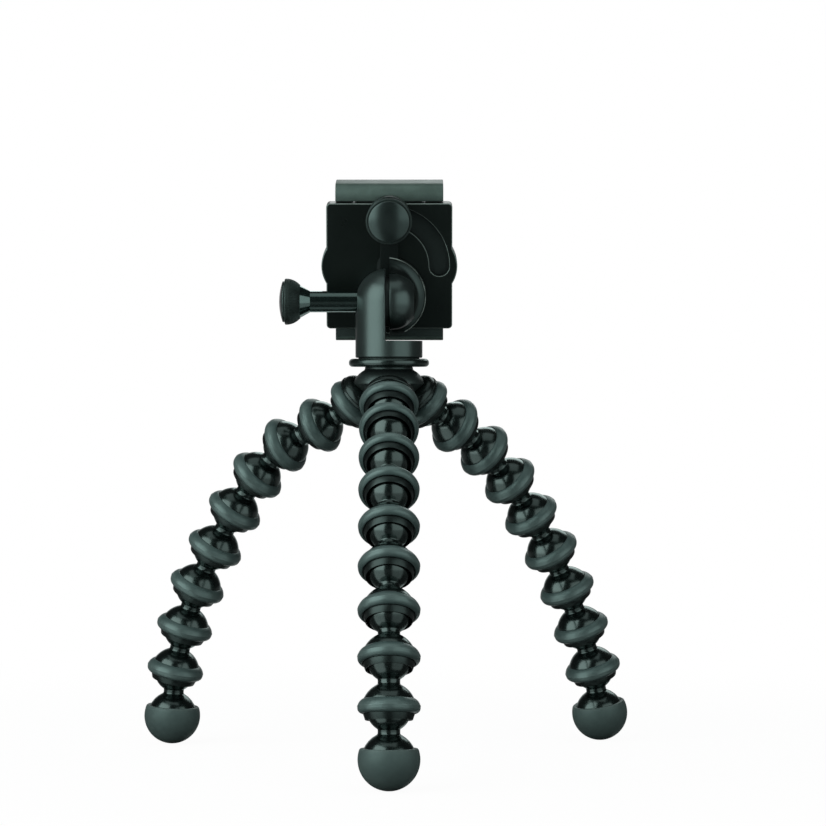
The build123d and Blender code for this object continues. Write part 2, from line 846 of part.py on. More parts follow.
def jaw_springs():
    # Closed tubes of the wound springs between the rod heads and the shell's top wall.
    low = rod_foot_z() + rod_head + spring_end_gap
    high = plate_top - shell_wall - spring_end_gap
    coil = rod_z(spring_r, low, high) - rod_z(
        rod_r + spring_bore_gap, low - overrun, high + overrun
    )
    return Compound(children=[Pos(x, rod_y, 0) * coil for x in (-rod_spread, rod_spread)])


parts = {
    "hub": hub(),
    "hub_rings": hub_rings(),
    "collar_ring": collar_ring(),
    "pan_washer": pan_washer(),
    "spring_washer": spring_washer(),
    "pan_bolt": head_at(pan_bolt()),
    "pan_insert": head_at(pan_insert()),
    "head_housing": head_at(head_housing()),
    "tilt_knob_core": head_at(at_tilt_knob(knob_core(tilt_sleeve, tilt_bolt_r + knob_bore_gap))),
    "tilt_knob_grip": head_at(at_tilt_knob(knob_grip(tilt_sleeve))),
    "tilt_knob_insert": head_at(
        at_tilt_knob(knob_insert(tilt_sleeve, tilt_bolt_r + knob_bore_gap))
    ),
    "tilt_knob_cap": head_at(at_tilt_knob(knob_cap(tilt_sleeve))),
    "tilt_washer": clamp_at(tilt_washer()),
    "tilt_bolt": clamp_at(tilt_bolt()),
    "tilt_bracket": clamp_at(tilt_bracket()),
    "swivel_knob_core": clamp_at(at_swivel_knob(knob_core(swivel_sleeve, tilt_bolt_r))),
    "swivel_knob_grip": clamp_at(at_swivel_knob(knob_grip(swivel_sleeve))),
    "swivel_knob_cap": clamp_at(at_swivel_knob(knob_cap(swivel_sleeve))),
    "swivel_screw": clamp_at(at_swivel_knob(swivel_screw())),
    "slot_slider": clamp_at(slot_slider()),
    "pivot_bolt": clamp_at(pivot_bolt()),
    "bracket_washers": clamp_at(bracket_washers()),
    "back_plate": clamp_at(back_plate()),
    "front_plate": clamp_at(front_plate()),
    "mid_plate": clamp_at(mid_plate()),
    "plate_screws": clamp_at(plate_screws()),
    "front_pad": clamp_at(front_pad()),
    "lower_jaw": clamp_at(lower_jaw()),
    "lower_jaw_skin": clamp_at(lower_jaw_skin()),
    "jaw_springs": clamp_at(jaw_springs()),
    "guide_rods": clamp_at(guide_rods()),
    "upper_jaw": clamp_at(upper_jaw()),
    "upper_jaw_skin": clamp_at(upper_jaw_skin()),
}

link = leg_link()
foot = leg_foot()
for leg, places in legs.items():
    for number, (centre, way) in enumerate(places, start=1):
        last = number == len(places)
        name = f"leg_{leg}_foot" if last else f"leg_{leg}_link_{number}"
        parts[name] = facing(centre, way) * (foot if last else link)

for name, shape in parts.items():
    export_step(shape, f"parts/{name}.step")
print(len(parts), "nodes written")
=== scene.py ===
import json
import math

import bmesh
import bpy
from mathutils import Matrix, Vector


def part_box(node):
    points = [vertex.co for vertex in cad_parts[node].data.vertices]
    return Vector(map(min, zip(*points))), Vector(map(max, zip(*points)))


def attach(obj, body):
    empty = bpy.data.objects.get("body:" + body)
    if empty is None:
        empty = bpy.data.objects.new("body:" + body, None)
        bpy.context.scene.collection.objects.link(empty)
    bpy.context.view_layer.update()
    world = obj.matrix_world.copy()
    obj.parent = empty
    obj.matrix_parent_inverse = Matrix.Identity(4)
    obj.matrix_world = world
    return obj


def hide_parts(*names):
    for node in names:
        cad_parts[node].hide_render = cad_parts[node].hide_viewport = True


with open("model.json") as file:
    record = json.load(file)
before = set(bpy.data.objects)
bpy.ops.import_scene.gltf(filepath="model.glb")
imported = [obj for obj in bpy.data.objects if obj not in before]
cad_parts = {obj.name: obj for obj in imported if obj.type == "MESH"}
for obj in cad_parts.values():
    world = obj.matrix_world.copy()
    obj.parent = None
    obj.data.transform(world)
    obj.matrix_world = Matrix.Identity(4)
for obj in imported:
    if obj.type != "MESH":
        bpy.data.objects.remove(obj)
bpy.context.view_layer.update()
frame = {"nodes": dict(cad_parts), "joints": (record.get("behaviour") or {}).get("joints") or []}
print("frame loaded:", len(frame["nodes"]), "nodes")

mm = 0.001  # the pieces are drawn in millimetres, and placed in metres
mergeDistance = 0.002  # points of a turned profile that are nearer than this become one
flatTolerance = 1e-4  # an edge whose two ends differ less than this lies across the drawing
joints = {joint["name"]: joint for joint in frame["joints"]}


def jointPlace(name):
    return Vector(joints[name]["pos_m"])


# outputs of the texture coordinate node
coordinates = {"generated": 0, "normal": 1, "object": 3}


# ---- shader helpers: wires can be added, subtracted and multiplied
class Wire:
    def __init__(self, paint, socket):
        self.paint = paint
        self.socket = socket

    def __add__(self, other):
        return self.paint.maths("ADD", self, other)

    def __radd__(self, other):
        return self.paint.maths("ADD", other, self)

    def __sub__(self, other):
        return self.paint.maths("SUBTRACT", self, other)

    def __rsub__(self, other):
        return self.paint.maths("SUBTRACT", other, self)

    def __mul__(self, other):
        return self.paint.maths("MULTIPLY", self, other)

    def __rmul__(self, other):
        return self.paint.maths("MULTIPLY", other, self)


class Paint:
    # writes the node tree of a material or of the world
    def __init__(self, owner):
        self.owner = owner
        owner.use_nodes = True
        self.tree = owner.node_tree
        self.tree.nodes.clear()

    def node(self, kind, settings=None, inputs=None, output=0):
        made = self.tree.nodes.new(kind)
        for key, value in (settings or {}).items():
            setattr(made, key, value)
        for key, value in (inputs or {}).items():
            if isinstance(value, Wire):
                self.tree.links.new(value.socket, made.inputs[key])
            else:
                made.inputs[key].default_value = value
        return Wire(self, made.outputs[output]) if made.outputs else made

    def maths(self, operation, first, second):
        return self.node("ShaderNodeMath", {"operation": operation}, {0: first, 1: second})

    def ramp(self, value, low, high):
        # 0 below low, 1 above high, smooth between them
        return self.node("ShaderNodeMapRange", {"interpolation_type": "SMOOTHSTEP"},
                         {"Value": value, "From Min": low, "From Max": high})

    def noise(self, scale, detail=2.0, rough=0.5, vector=None):
        return self.node("ShaderNodeTexNoise", None,
                         {"Vector": vector or self.place(), "Scale": scale, "Detail": detail,
                          "Roughness": rough})

    def place(self, kind="object"):
        return self.node("ShaderNodeTexCoord", output=coordinates[kind])

    def mix(self, factor, low, high):
        return self.node("ShaderNodeMix", {"data_type": "RGBA"},
                         {0: factor, 6: (*low, 1) if isinstance(low, tuple) else low,
                          7: (*high, 1) if isinstance(high, tuple) else high}, output=2)

    def wearAndPaintedLight(self):
        # how worn the surface is, as stored on the mesh; on the jaws and along the bell's rim the
        # stored amount is painted light
        return self.node("ShaderNodeAttribute", {"attribute_name": "wearAndPaintedLight"}, output=2)

    def rays(self):
        # whether the ray comes from the camera, or else through a mirror or glass
        paths = self.tree.nodes.new("ShaderNodeLightPath")
        glossy = Wire(self, paths.outputs["Is Glossy Ray"])
        return (Wire(self, paths.outputs["Is Camera Ray"]),
                glossy + Wire(self, paths.outputs["Is Transmission Ray"]))

    def bump(self, height, distance, strength=1.0, normal=None):
        inputs = {"Height": height, "Distance": distance, "Strength": strength}
        if normal:
            inputs["Normal"] = normal
        return self.node("ShaderNodeBump", None, inputs)

    def surface(self, inputs):
        shader = self.node("ShaderNodeBsdfPrincipled", None, inputs)
        self.node("ShaderNodeOutputMaterial", None, {"Surface": shader})
        return self.owner


gloss = {"smudge": (0.48, 0.72), "dustShare": 0.5, "grainRough": 0.03, "wornRough": 0.12,
         "waveStrength": 0.35, "grainStrength": 0.3}


def glossMoulding(name, look):
    # polished black moulding: faint flow waves, fine grain, dusty smudges, satin where it is worn
    paint = Paint(bpy.data.materials.new(name))
    flow = paint.noise(look["waveScale"], 2)
    grain = paint.noise(look["grainScale"], 3)
    smudge = paint.ramp(paint.noise(look["smudgeScale"], 4, 0.6), *gloss["smudge"])
    color = paint.mix(smudge * gloss["dustShare"], look["color"], look["dust"])
    satin = paint.wearAndPaintedLight()
    rough = look["rough"] + smudge * look["smudgeRough"] + grain * gloss["grainRough"]
    rough = rough + satin * gloss["wornRough"]
    waves = paint.bump(flow, look["waveDepth"], gloss["waveStrength"])
    fine = paint.bump(grain, look["grainDepth"], gloss["grainStrength"], waves)
    return paint.surface({"Base Color": color, "Roughness": rough, "Normal": fine,
                          "Coat Weight": look["coat"] * (1.0 - satin),
                          "Coat Roughness": look["coatRough"],
                          "Specular IOR Level": look["specular"],
                          "Specular Tint": (*look["tint"], 1), "Coat Tint": (*look["tint"], 1)})


rubber = {"cloud": (0.35, 0.7), "paleEven": 0.7, "paleCloudy": 0.3, "paleShine": 0.08,
          "stippleRough": 0.08, "stippleStrength": 0.5}


def softRubber(name, look):
    # matt rubber with a fine stipple, paler and smoother where it is rubbed; on the jaws the paler
    # colour is painted light
    paint = Paint(bpy.data.materials.new(name))
    stipple = paint.noise(look["stippleScale"], 3, 0.6)
    cloud = paint.ramp(paint.noise(look["cloudScale"], 4, 0.6), *rubber["cloud"])
    paleShare = paint.wearAndPaintedLight() * (rubber["paleEven"] + rubber["paleCloudy"] * cloud)
    color = paint.mix(cloud, look["color"], look["cloud"])
    color = paint.mix(paleShare, color, look["pale"])
    rough = look["rough"] - rubber["paleShine"] * paleShare + rubber["stippleRough"] * stipple
    fine = paint.bump(stipple, look["stippleDepth"], rubber["stippleStrength"])
    return paint.surface({"Base Color": color, "Roughness": rough, "Normal": fine,
                          "Specular IOR Level": look["specular"],
                          "Specular Tint": (*look["tint"], 1)})


coat = {"paleCloud": (0.35, 0.65), "edgeStart": (0.05, 0.3), "edgeEnd": (0.9, 0.985),
        "edgeEven": 0.6, "edgeCloudy": 0.4, "cloudRough": 0.1, "paleGloss": 0.05,
        "poreStrength": 0.45}


def satinCoat(name, look):
    # powder coat or matt moulding: even fine texture with a soft sheen, pale where the mesh's
    # stored amount says, which on the bell's rim is a painted highlight
    paint = Paint(bpy.data.materials.new(name))
    pores = paint.noise(look["poreScale"], 3, 0.55)
    cloud = paint.noise(look["cloudScale"], 3)
    wearAndPaintedLight = paint.wearAndPaintedLight()
    color = paint.mix(cloud, look["color"], look["cloud"])
    color = paint.mix(wearAndPaintedLight * paint.ramp(cloud, *coat["paleCloud"]), color, look["pale"])
    if "flatWay" in look:
        # painted highlight: the rounded edges between the flat face and the sides are paler, as
        # where they catch the light
        facing = paint.node("ShaderNodeVectorMath", {"operation": "DOT_PRODUCT"},
                            {0: paint.place("normal"), 1: look["flatWay"]}, output=1)
        turn = paint.node("ShaderNodeMath", {"operation": "ABSOLUTE"}, {0: facing})
        edge = paint.ramp(turn, *coat["edgeStart"]) * (1.0 - paint.ramp(turn, *coat["edgeEnd"]))
        pale = edge * (coat["edgeEven"] + coat["edgeCloudy"] * cloud)
        color = paint.mix(pale, color, look["edgeHighlight"])
    rough = look["rough"] + coat["cloudRough"] * (cloud - 0.5) - coat["paleGloss"] * wearAndPaintedLight
    fine = paint.bump(pores, look["poreDepth"], coat["poreStrength"])
    return paint.surface({"Base Color": color, "Roughness": rough, "Normal": fine,
                          "Metallic": look["metal"], "Specular IOR Level": look["specular"],
                          "Specular Tint": (*look["tint"], 1)})


metal = {"tarnish": (0.4, 0.75), "tarnishRough": 0.12, "lineRough": 0.1, "lineStrength": 0.4}


def turnedMetal(name, look):
    # bright metal with fine turning marks and slight tarnish
    paint = Paint(bpy.data.materials.new(name))
    stretched = paint.node("ShaderNodeMapping", None,
                           {"Vector": paint.place(), "Scale": look["lay"]})
    lines = paint.noise(look["lineScale"], 3, 0.6, stretched)
    tarnish = paint.ramp(paint.noise(look["tarnishScale"], 4, 0.6), *metal["tarnish"])
    color = paint.mix(tarnish, look["color"], look["tarnish"])
    rough = look["rough"] + metal["tarnishRough"] * tarnish + metal["lineRough"] * lines
    fine = paint.bump(lines, look["lineDepth"], metal["lineStrength"])
    return paint.surface({"Base Color": color, "Roughness": rough, "Normal": fine,
                          "Metallic": 1.0})


coolTint = (0.72, 1.0, 0.95)
# the way that the back of the clamp faces
clampBack = Vector(joints["clamp_swivel"]["axis"])
legPlastic = glossMoulding("legPlastic", {
    "color": (0.0015, 0.0019, 0.0019), "dust": (0.003, 0.004, 0.0038), "rough": 0.22,
    "smudgeRough": 0.05, "smudgeScale": 260, "waveScale": 150, "waveDepth": 0.00001,
    "grainScale": 2600, "grainDepth": 0.000004, "coat": 0.6, "coatRough": 0.17,
    "specular": 0.5, "tint": coolTint})
hubPlastic = glossMoulding("hubPlastic", {
    "color": (0.0035, 0.0045, 0.0045), "dust": (0.006, 0.008, 0.007), "rough": 0.25,
    "smudgeRough": 0.08, "smudgeScale": 200, "waveScale": 150, "waveDepth": 0.00003,
    "grainScale": 2200, "grainDepth": 0.000005, "coat": 0.15, "coatRough": 0.22,
    "specular": 0.34, "tint": coolTint})
coreSatin = satinCoat("coreSatin", {
    "color": (0.009, 0.012, 0.0115), "cloud": (0.011, 0.0145, 0.014), "pale": (0.03, 0.036, 0.033),
    "rough": 0.4, "poreScale": 3400, "poreDepth": 0.00002, "cloudScale": 130,
    "metal": 0.0, "specular": 0.7, "tint": coolTint})
collarPlastic = glossMoulding("collarPlastic", {
    "color": (0.004, 0.0055, 0.0052), "dust": (0.010, 0.012, 0.011), "rough": 0.22,
    "smudgeRough": 0.10, "smudgeScale": 220, "waveScale": 150, "waveDepth": 0.00002,
    "grainScale": 2400, "grainDepth": 0.000006, "coat": 0.5, "coatRough": 0.2,
    "specular": 0.5, "tint": coolTint})
ringRubber = softRubber("ringRubber", {
    "color": (0.038, 0.060, 0.058), "cloud": (0.046, 0.070, 0.067), "pale": (0.085, 0.118, 0.113),
    "rough": 0.33, "stippleScale": 3800, "stippleDepth": 0.00002, "cloudScale": 240,
    "specular": 0.65, "tint": coolTint})
footRubber = softRubber("footRubber", {
    "color": (0.045, 0.066, 0.063), "cloud": (0.052, 0.076, 0.072), "pale": (0.08, 0.105, 0.1),
    "rough": 0.5, "stippleScale": 3200, "stippleDepth": 0.00003, "cloudScale": 160,
    "specular": 0.45, "tint": coolTint})
# the jaw rubber's dark colour is painted shade on the jaws' backs, its pale colour painted light
# on their lit rolls
jawRubber = softRubber("jawRubber", {
    "color": (0.005, 0.008, 0.007), "cloud": (0.007, 0.010, 0.009), "pale": (0.062, 0.092, 0.079),
    "rough": 0.46, "stippleScale": 3000, "stippleDepth": 0.00004, "cloudScale": 140,
    "specular": 0.5, "tint": coolTint})
knobRubber = softRubber("knobRubber", {
    "color": (0.007, 0.010, 0.009), "cloud": (0.009, 0.013, 0.012), "pale": (0.026, 0.036, 0.033),
    "rough": 0.42, "stippleScale": 3600, "stippleDepth": 0.00002, "cloudScale": 220,
    "specular": 0.35, "tint": coolTint})
capRubber = softRubber("capRubber", {
    "color": (0.006, 0.009, 0.0085), "cloud": (0.008, 0.0115, 0.011), "pale": (0.032, 0.043, 0.04),
    "rough": 0.2, "stippleScale": 3600, "stippleDepth": 0.00001, "cloudScale": 220,
    "specular": 0.65, "tint": coolTint})
padRubber = softRubber("padRubber", {
    "color": (0.012, 0.016, 0.015), "cloud": (0.015, 0.02, 0.018), "pale": (0.03, 0.038, 0.036),
    "rough": 0.6, "stippleScale": 2600, "stippleDepth": 0.00005, "cloudScale": 120,
    "specular": 0.4, "tint": coolTint})
headMetal = satinCoat("headMetal", {
    "color": (0.010, 0.014, 0.0135), "cloud": (0.012, 0.017, 0.016), "pale": (0.06, 0.07, 0.066),
    "rough": 0.34, "poreScale": 3400, "poreDepth": 0.00002, "cloudScale": 130,
    "metal": 0.0, "specular": 0.9, "tint": coolTint})
bracketMetal = satinCoat("bracketMetal", {
    "color": (0.009, 0.012, 0.0115), "cloud": (0.011, 0.0145, 0.014), "pale": (0.05, 0.058, 0.055),
    "rough": 0.3, "poreScale": 3400, "poreDepth": 0.00002, "cloudScale": 130,
    "metal": 0.0, "specular": 0.9, "tint": coolTint})
# the bell's pale colour is a painted highlight along the top of its rim
bellMetal = satinCoat("bellMetal", {
    "color": (0.003, 0.004, 0.0038), "cloud": (0.004, 0.0053, 0.005), "pale": (0.22, 0.26, 0.24),
    "rough": 0.3, "poreScale": 3400, "poreDepth": 0.00001, "cloudScale": 130,
    "metal": 0.0, "specular": 0.5, "tint": coolTint})
# painted shade: a darker, duller copy of the bracket's metal, for the arm
armShadedMetal = satinCoat("armShadedMetal", {
    "color": (0.003, 0.004, 0.0038), "cloud": (0.004, 0.0053, 0.005), "pale": (0.05, 0.058, 0.055),
    "rough": 0.5, "poreScale": 3400, "poreDepth": 0.00002, "cloudScale": 130,
    "metal": 0.0, "specular": 0.12, "tint": coolTint})
# the paler colour on the plate's rounded edges is a painted highlight
platePlastic = satinCoat("platePlastic", {
    "color": (0.0028, 0.004, 0.0034), "cloud": (0.0036, 0.005, 0.0042),
    "pale": (0.03, 0.036, 0.033), "rough": 0.3, "poreScale": 2800, "poreDepth": 0.00002,
    "cloudScale": 110, "metal": 0.0, "specular": 0.3, "tint": coolTint,
    "flatWay": clampBack, "edgeHighlight": (0.16, 0.2, 0.185)})
knobMetal = glossMoulding("knobMetal", {
    "color": (0.0015, 0.002, 0.002), "dust": (0.003, 0.004, 0.0038), "rough": 0.17,
    "smudgeRough": 0.04, "smudgeScale": 260, "waveScale": 140, "waveDepth": 0.00001,
    "grainScale": 2400, "grainDepth": 0.000004, "coat": 1.0, "coatRough": 0.08,
    "specular": 1.0, "tint": coolTint})
steel = turnedMetal("steel", {
    "color": (0.52, 0.53, 0.54), "tarnish": (0.34, 0.34, 0.34), "rough": 0.24, "lay": (1, 1, 8),
    "lineScale": 900, "lineDepth": 0.00001, "tarnishScale": 260})
darkSteel = satinCoat("darkSteel", {
    "color": (0.004, 0.005, 0.005), "cloud": (0.006, 0.007, 0.007), "pale": (0.03, 0.034, 0.033),
    "rough": 0.38, "poreScale": 2600, "poreDepth": 0.00003, "cloudScale": 160, "metal": 0.0,
    "specular": 0.5, "tint": coolTint})
chrome = turnedMetal("chrome", {
    "color": (0.68, 0.69, 0.70), "tarnish": (0.55, 0.55, 0.56), "rough": 0.08, "lay": (6, 6, 1),
    "lineScale": 700, "lineDepth": 0.000004, "tarnishScale": 200})
brass = turnedMetal("brass", {
    "color": (0.70, 0.48, 0.18), "tarnish": (0.38, 0.24, 0.09), "rough": 0.26, "lay": (1, 1, 6),
    "lineScale": 900, "lineDepth": 0.00001, "tarnishScale": 320})
washerPlastic = satinCoat("washerPlastic", {
    "color": (0.008, 0.008, 0.008), "cloud": (0.012, 0.012, 0.012), "pale": (0.03, 0.03, 0.03),
    "rough": 0.5, "poreScale": 2400, "poreDepth": 0.00003, "cloudScale": 300, "metal": 0.0,
    "specular": 0.5, "tint": coolTint})
print("materials ready:", len(bpy.data.materials))


# ---- mesh helpers
def arc(middle, radius, start, end, steps):
    # points of an arc in a profile of radius and height, angles in degrees
    turns = [math.radians(start + (end - start) * i / steps) for i in range(steps + 1)]
    return [(middle[0] + radius * math.cos(t), middle[1] + radius * math.sin(t)) for t in turns]


def swell(start, end, share, steps):
    # a shallow curve between two points that stands out to the right by a share of its length
    dx, dz = end[0] - start[0], end[1] - start[1]
    points = []
    for i in range(steps + 1):
        t = i / steps
        out = 4 * share * t * (1 - t)
        points.append((start[0] + dx * t + dz * out, start[1] + dz * t - dx * out))
    return points


def spun(profile, steps=64, closed=False):
    # turns a profile of radius and height about Z
    bm = bmesh.new()
    verts = [bm.verts.new((r, 0, z)) for r, z in profile]
    edges = [bm.edges.new(pair) for pair in zip(verts, verts[1:])]
    if closed:
        edges.append(bm.edges.new((verts[-1], verts[0])))
    bmesh.ops.spin(bm, geom=verts + edges, cent=(0, 0, 0), axis=(0, 0, 1),
                   angle=2 * math.pi, steps=steps, use_merge=True)
    bmesh.ops.remove_doubles(bm, verts=bm.verts, dist=mergeDistance)
    bmesh.ops.recalc_face_normals(bm, faces=bm.faces)
    return bm


def storeWearAndPaintedLight(bm, amount):
    # stores how worn each point is, from its place in the piece's own frame; for the jaws and the
    # bell's rim the amount is painted light, not wear
    layer = bm.verts.layers.float.new("wearAndPaintedLight")
    for vert in bm.verts:
        vert[layer] = amount(vert.co)


def finished(name, bm, place, paint, body, nodes, sharp=32):
    # places a drawn piece, gives it its material, and has it ride on its body for its nodes
    bmesh.ops.transform(bm, matrix=place @ Matrix.Scale(mm, 4), verts=bm.verts)
    for face in bm.faces:
        face.smooth = True
    for edge in bm.edges:
        edge.smooth = edge.calc_face_angle(math.pi) < math.radians(sharp)
    mesh = bpy.data.meshes.new(name)
    bm.to_mesh(mesh)
    bm.free()
    mesh.materials.append(paint)
    piece = bpy.data.objects.new(name, mesh)
    bpy.context.scene.collection.objects.link(piece)
    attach(piece, body)
    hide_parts(*nodes)


def drawnOut(outline, start, end, lay, edge=0.0):
    # a closed outline drawn out to a bar between two places; lay gives the outline's two
    # axes and the way it is drawn, and edge rounds both ends
    bm = bmesh.new()
    across, upward, along = (Vector(way) for way in lay)
    verts = [bm.verts.new(across * u + upward * v + along * start) for u, v in outline]
    first = bm.faces.new(verts)
    drawn = bmesh.ops.extrude_face_region(bm, geom=[first], use_keep_orig=True)
    far = [part for part in drawn["geom"] if isinstance(part, bmesh.types.BMVert)]
    bmesh.ops.translate(bm, verts=far, vec=along * (end - start))
    bmesh.ops.recalc_face_normals(bm, faces=bm.faces)
    if edge:
        ends = [e for e in bm.edges
                if abs((e.verts[0].co - e.verts[1].co).dot(along)) < flatTolerance]
        bmesh.ops.bevel(bm, geom=ends, offset=edge, offset_type="OFFSET", segments=3, profile=0.5,
                        affect="EDGES", material=-1, clamp_overlap=True)
    return bm


def corner(point, before, after, radius, steps=5):
    # a rounded corner of an outline: the points that replace its sharp one
    here, back, ahead = Vector(point), Vector(before), Vector(after)
    inWay, outWay = (back - here).normalized(), (ahead - here).normalized()
    half = inWay.angle(outWay) / 2
    middle = here + (inWay + outWay).normalized() * (radius / math.sin(half))
    first = here + inWay * (radius / math.tan(half)) - middle
    last = here + outWay * (radius / math.tan(half)) - middle
    return [tuple(middle + first.slerp(last, i / steps) * radius) for i in range(steps + 1)]


def rounded(points, radii, steps=5):
    # an outline whose corners are rounded, each by its own radius
    outline = []
    for i, (point, radius) in enumerate(zip(points, radii)):
        before, after = points[i - 1], points[(i + 1) % len(points)]
        outline += corner(point, before, after, radius, steps) if radius else [point]
    return outline


def pointing(point, way):
    # a frame at a point whose Z axis points along a way
    return Matrix.Translation(point) @ way.to_track_quat("Z", "Y").to_matrix().to_4x4()


# ---- camera: level, a little above the hub, with the frame shifted as the photograph is
cameraSettings = {"distance": 1.375, "height": 0.162, "lens": 138.5, "sensor": 36,
                  "shiftX": 0.0291, "shiftY": -0.0363, "clipEnd": 50}
cameraData = bpy.data.cameras.new("camera")
cameraData.lens = cameraSettings["lens"]
cameraData.sensor_width = cameraSettings["sensor"]
cameraData.shift_x = cameraSettings["shiftX"]
cameraData.shift_y = cameraSettings["shiftY"]
cameraData.clip_end = cameraSettings["clipEnd"]
camera = bpy.data.objects.new("camera", cameraData)
camera.location = (0, -cameraSettings["distance"], cameraSettings["height"])
camera.rotation_euler = (math.radians(90), 0, 0)
bpy.context.scene.collection.objects.link(camera)
bpy.context.scene.camera = camera


# ---- legs: each link is a black moulding with a rubber ring round its socket
link = {"pitch": 19.8, "ballR": 9.0, "neckR": 4.5, "ballFillet": 0.6, "domeFillet": 0.9,
        "domeR": 11.0, "seatR": 10.1, "grooveR": 10.38, "groove": 1.05, "lipR": 9.5,
        "grooveEdge": 0.1, "grooveRise": 0.15, "grooveWall": 0.6, "mouth": 4.2, "throat": 2.2,
        "gap": 0.1, "lipRound": 0.2, "satinWidth": 0.7, "steps": 72}


def stemProfile(toDome):
    # ball, neck with its two fillets, and the start of the dome
    ballR, neckR, domeR, pitch = link["ballR"], link["neckR"], link["domeR"], link["pitch"]
    low, high = link["ballFillet"], link["domeFillet"]
    lowZ = math.sqrt((ballR + low) ** 2 - (neckR + low) ** 2)
    lowTurn = math.degrees(math.atan2(lowZ, neckR + low))
    highZ = pitch - math.sqrt((domeR + high) ** 2 - (neckR + high) ** 2)
    highTurn = math.degrees(math.atan2(pitch - highZ, neckR + high))
    points = arc((0, 0), ballR, -90, lowTurn, 26)
    points += arc((neckR + low, lowZ), low, 180 + lowTurn, 180, 4)[1:]
    points += arc((neckR + high, highZ), high, 180, 180 - highTurn, 5)
    return points + arc((0, pitch), domeR, -highTurn, toDome, 14)[1:]


def mouthProfile(level):
    # the seat under the ring, the lip that opens like a shallow funnel, and the hollow, of a
    # socket whose centre is at this height
    round_, rim, groove = link["lipRound"], level + link["mouth"], level + link["groove"]
    hollowR = link["ballR"] + link["gap"]
    throatTurn = math.degrees(math.asin(link["throat"] / hollowR))
    points = [(link["seatR"], groove), (link["grooveR"] - link["grooveEdge"], groove)]
    points += [(link["grooveR"], groove + link["grooveRise"])]
    points += [(link["grooveR"], groove + link["grooveWall"])]
    points += [(link["lipR"] + round_ * 0.5, rim - round_), (link["lipR"], rim)]
    points += [(link["lipR"] - round_, rim), (link["lipR"] - round_ * 1.5, rim - round_)]
    return points + arc((0, level), hollowR, throatTurn, -90, 22)


def linkProfile():
    # neck and dome up to the seat under the ring, then the socket's mouth
    stem = stemProfile(-math.degrees(math.acos(link["seatR"] / link["domeR"])))
    return stem + mouthProfile(link["pitch"])


def linkSatin(co):
    # the lip beyond the ring is satin, the ball and the dome are glossy
    height, r = co.z - link["pitch"], math.hypot(co.x, co.y)
    return 1.0 if height > link["groove"] and r > link["lipR"] - link["satinWidth"] else 0.0


ring = {"seatR": 10.1, "top": -4.358, "crestR": 12.7, "crest": -1.3, "edgeR": 10.95,
        "edge": 1.6, "flank": 0.10, "lip": 0.19, "roll": 0.35, "steps": 96,
        "heel": [(0.02, 0.25), (0, -0.1), (0.18, -0.06)], "lowShare": (0.5, 1.1),
        "midEdge": (0.03, 0.45), "highShare": (0.3, 1.0),
        "tip": [(0.14, 0.02), (0.26, 0.16)], "insideWall": 0.3, "insideZ": 0.85, "seatZ": 0.8,
        "wearWidth": 1.1, "wearMost": 0.8}


def ringProfile():
    # rubber ring in the frame of its socket: long flank, rounded crest, short lip
    roll, crestR, crest = ring["roll"], ring["crestR"], ring["crest"]
    low, high, mid = ring["lowShare"], ring["highShare"], ring["midEdge"]
    edgeR, edge = ring["edgeR"], ring["edge"]
    heel = [(ring["seatR"] + out, ring["top"] + up) for out, up in ring["heel"]]
    points = heel[:2]
    points += swell(heel[2], (crestR - roll * low[0], crest - roll * low[1]), ring["flank"], 9)
    points += [(crestR - mid[0], crest - roll * mid[1]), (crestR, crest)]
    points += swell((crestR - roll * high[0], crest + roll * high[1]), (edgeR, edge),
                    ring["lip"], 7)
    points += [(edgeR - inset, edge - drop) for inset, drop in ring["tip"]]
    return points + [(edgeR - ring["insideWall"], ring["insideZ"]),
                     (ring["seatR"], ring["seatZ"])]


def ringWear(co):
    # rubbed along the crest
    inset = ring["crestR"] - math.hypot(co.x, co.y)
    return min(1.0, max(0.0, 1 - inset / ring["wearWidth"]) * ring["wearMost"])


def makeRing(name, place, body, nodes):
    bm = spun(ringProfile(), ring["steps"], closed=True)
    storeWearAndPaintedLight(bm, ringWear)
    finished(name, bm, place, ringRubber, body, nodes, sharp=50)


foot = {"capR": 12.5, "domeR": 11.0, "rim": 4.5, "rimRound": 0.45, "steps": 96,
        "rimTurn": 2.2, "rimInset": 0.02, "rimInside": [(0.25, 0.02), (0.03, 0.2)],
        "insideRise": 0.35, "insideGap": 0.01, "rimWear": (1.6, 0.7), "soleZ": 10.6,
        "soleWear": (1.9, 0.8)}


def capProfile():
    # rubber cap in the frame of the foot's centre, rim towards the leg
    rim, round_ = -foot["rim"], foot["rimRound"]
    rimTurn = math.degrees(math.asin(rim / foot["capR"]))
    outerR = math.sqrt(foot["capR"] ** 2 - rim**2)
    innerR = math.sqrt(foot["domeR"] ** 2 - rim**2)
    points = arc((0, 0), foot["capR"], 90, rimTurn + foot["rimTurn"], 34)
    points += arc((outerR - round_ - foot["rimInset"], rim + round_), round_, 0, -90, 4)
    points += [(innerR + out, rim + up) for out, up in foot["rimInside"]]
    inner = math.degrees(math.asin((rim + foot["insideRise"]) / foot["domeR"]))
    return points + arc((0, 0), foot["domeR"] + foot["insideGap"], inner, 90, 20)


def capWear(co):
    # rubbed along the rim and on the sole
    rimReach, rimMost = foot["rimWear"]
    soleReach, soleMost = foot["soleWear"]
    rim = max(0.0, 1 - (co.z + foot["rim"]) / rimReach)
    sole = max(0.0, (co.z - foot["soleZ"]) / soleReach)
    return min(1.0, rim * rimMost + sole * soleMost)


